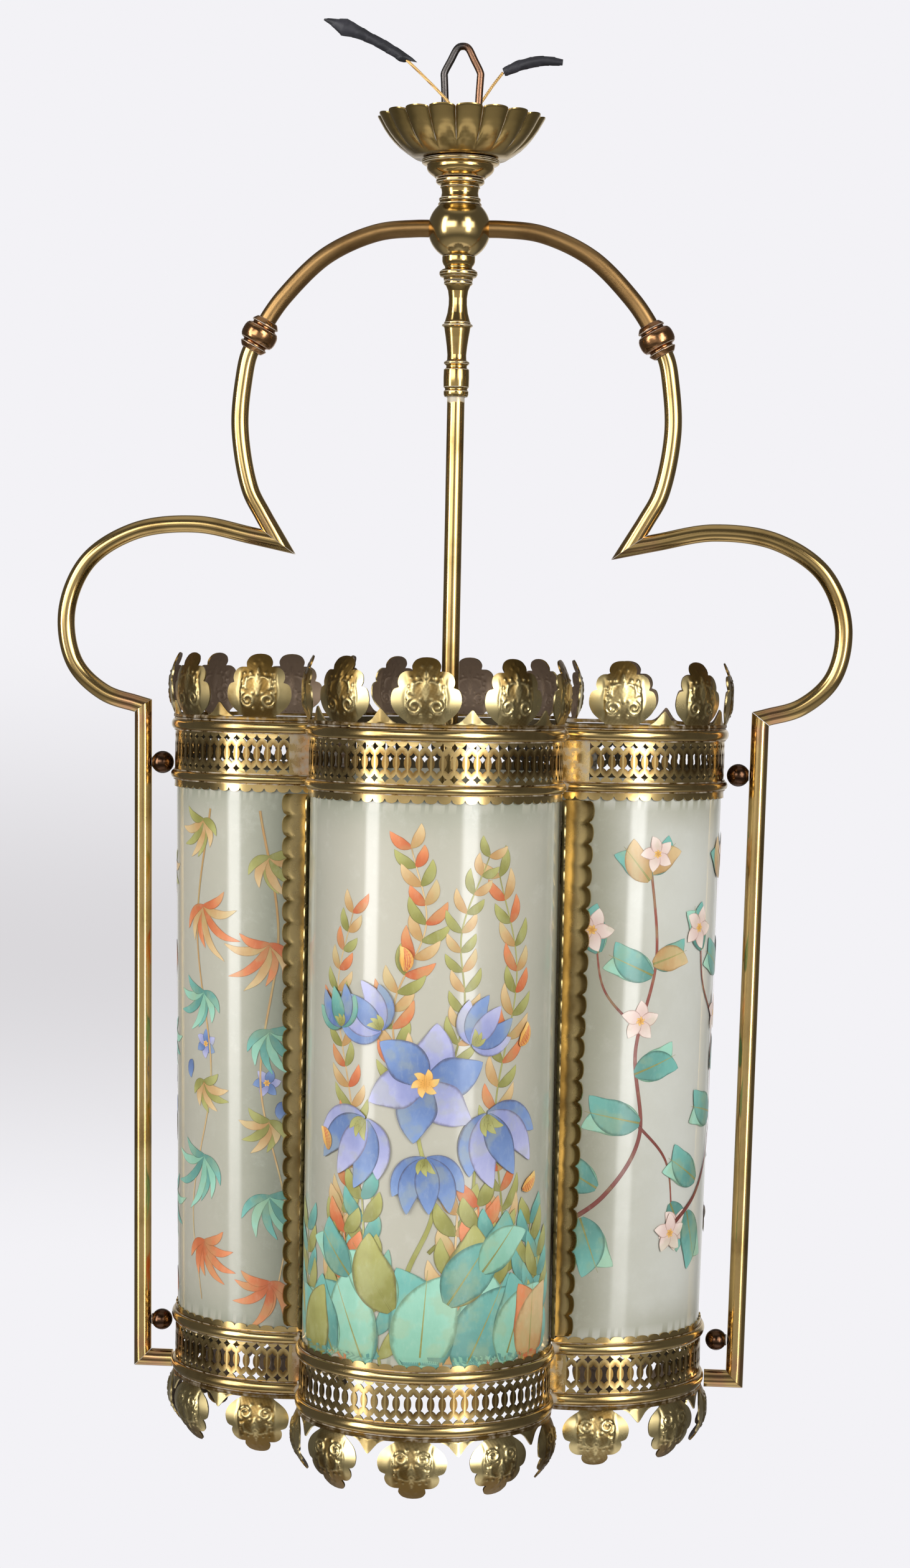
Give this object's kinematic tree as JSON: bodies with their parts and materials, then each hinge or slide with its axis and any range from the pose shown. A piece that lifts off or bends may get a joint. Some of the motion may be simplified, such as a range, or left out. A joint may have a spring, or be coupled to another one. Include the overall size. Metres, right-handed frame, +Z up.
{
  "type": "hall lantern",
  "caption": "Hanging brass hall lantern: a quatrefoil cage of curved painted glass between pierced galleries with leaf borders, slung from a ball and scrolled tube arms.",
  "frame": {"origin": "inside top of the hanging loop, where the ceiling hook bears", "axes": "+Z up, +X along the scroll arms to the right as seen from the front, -Y towards the viewer"},
  "size_m": [0.434, 0.3082, 0.7713],
  "materials": {
    "brass": "aged polished brass, browned in the hollows",
    "dark_brass": "satin browned brass",
    "brown_brass": "dark brown patina",
    "steel_wire": "dull bent steel wire",
    "frosted_glass": "frosted pale green glass, painted with flowers",
    "bulb_glass": "pearl glass",
    "porcelain": "glazed insulator",
    "lead_sheath": "gold coloured braid",
    "black_tape": "matt black insulating tape"
  },
  "bodies": {
    "loop": {"hanging_loop": "steel_wire"},
    "lantern": {"loop_yoke": "dark_brass", "neck_flare": "dark_brass", "ringed_neck": "dark_brass", "centre_tube": "dark_brass", "cup_nipple": "brass", "ceiling_cup": "brass", "centre_ball": "brass", "stem_collar": "brass", "stem_vase": "brass", "upper_arm_right": "dark_brass", "upper_arm_left": "dark_brass", "arm_knuckle_right": "dark_brass", "arm_knuckle_left": "dark_brass", "lower_arm_right": "brass", "lower_arm_left": "brass", "scroll_arm_right": "brass", "scroll_arm_left": "brass", "side_tube_right": "brass", "side_tube_left": "brass", "foot_stub_right": "brass", "foot_stub_left": "brass", "upper_spacer_right": "brown_brass", "upper_spacer_left": "brown_brass", "lower_spacer_right": "brown_brass", "lower_spacer_left": "brown_brass", "upper_gallery_right": "brass", "upper_gallery_back": "brass", "upper_gallery_left": "brass", "upper_gallery_front": "brass", "lower_gallery_right": "brass", "lower_gallery_back": "brass", "lower_gallery_left": "brass", "lower_gallery_front": "brass", "glass_panel_right": "frosted_glass", "glass_panel_back": "frosted_glass", "glass_panel_left": "frosted_glass", "glass_panel_front": "frosted_glass", "corner_post_back_right": "brass", "corner_post_back_left": "brass", "corner_post_front_left": "brass", "corner_post_front_right": "brass", "upper_bead_top": "brass", "upper_bead_low": "brass", "lower_bead_top": "brass", "lower_bead_low": "brass", "leaf_crest": "brass", "leaf_fringe": "brass", "holder_cap": "brass", "holder_shell": "brass", "holder_ring": "brass", "holder_insert": "porcelain", "lead_left": "lead_sheath", "lead_right": "lead_sheath", "tape_sleeve_left": "black_tape", "tape_sleeve_right": "black_tape"},
    "bulb": {"bulb_cap": "brass", "bulb_glass": "bulb_glass"},
    "contact_right": {"contact_plunger_right": "brass"},
    "contact_left": {"contact_plunger_left": "brass"}
  },
  "joints": [
    {"name": "lantern_swing", "type": "hinge", "parent": "loop", "child": "lantern", "pos_m": [0, 0, -0.0432], "axis": [1, 0, 0], "range_deg": [-12, 12]},
    {"name": "bulb_twist", "type": "hinge", "parent": "lantern", "child": "bulb", "pos_m": [0, 0, -0.45755], "axis": [0, 0, 1], "range_deg": [-20, 0]},
    {"name": "contact_right_press", "type": "slide", "parent": "lantern", "child": "contact_right", "axis": [0, 0, 1], "range_m": [0, 0.002], "stiffness_N_per_m": 500},
    {"name": "contact_left_press", "type": "slide", "parent": "lantern", "child": "contact_left", "axis": [0, 0, 1], "range_m": [0, 0.002], "stiffness_N_per_m": 500}
  ]
}
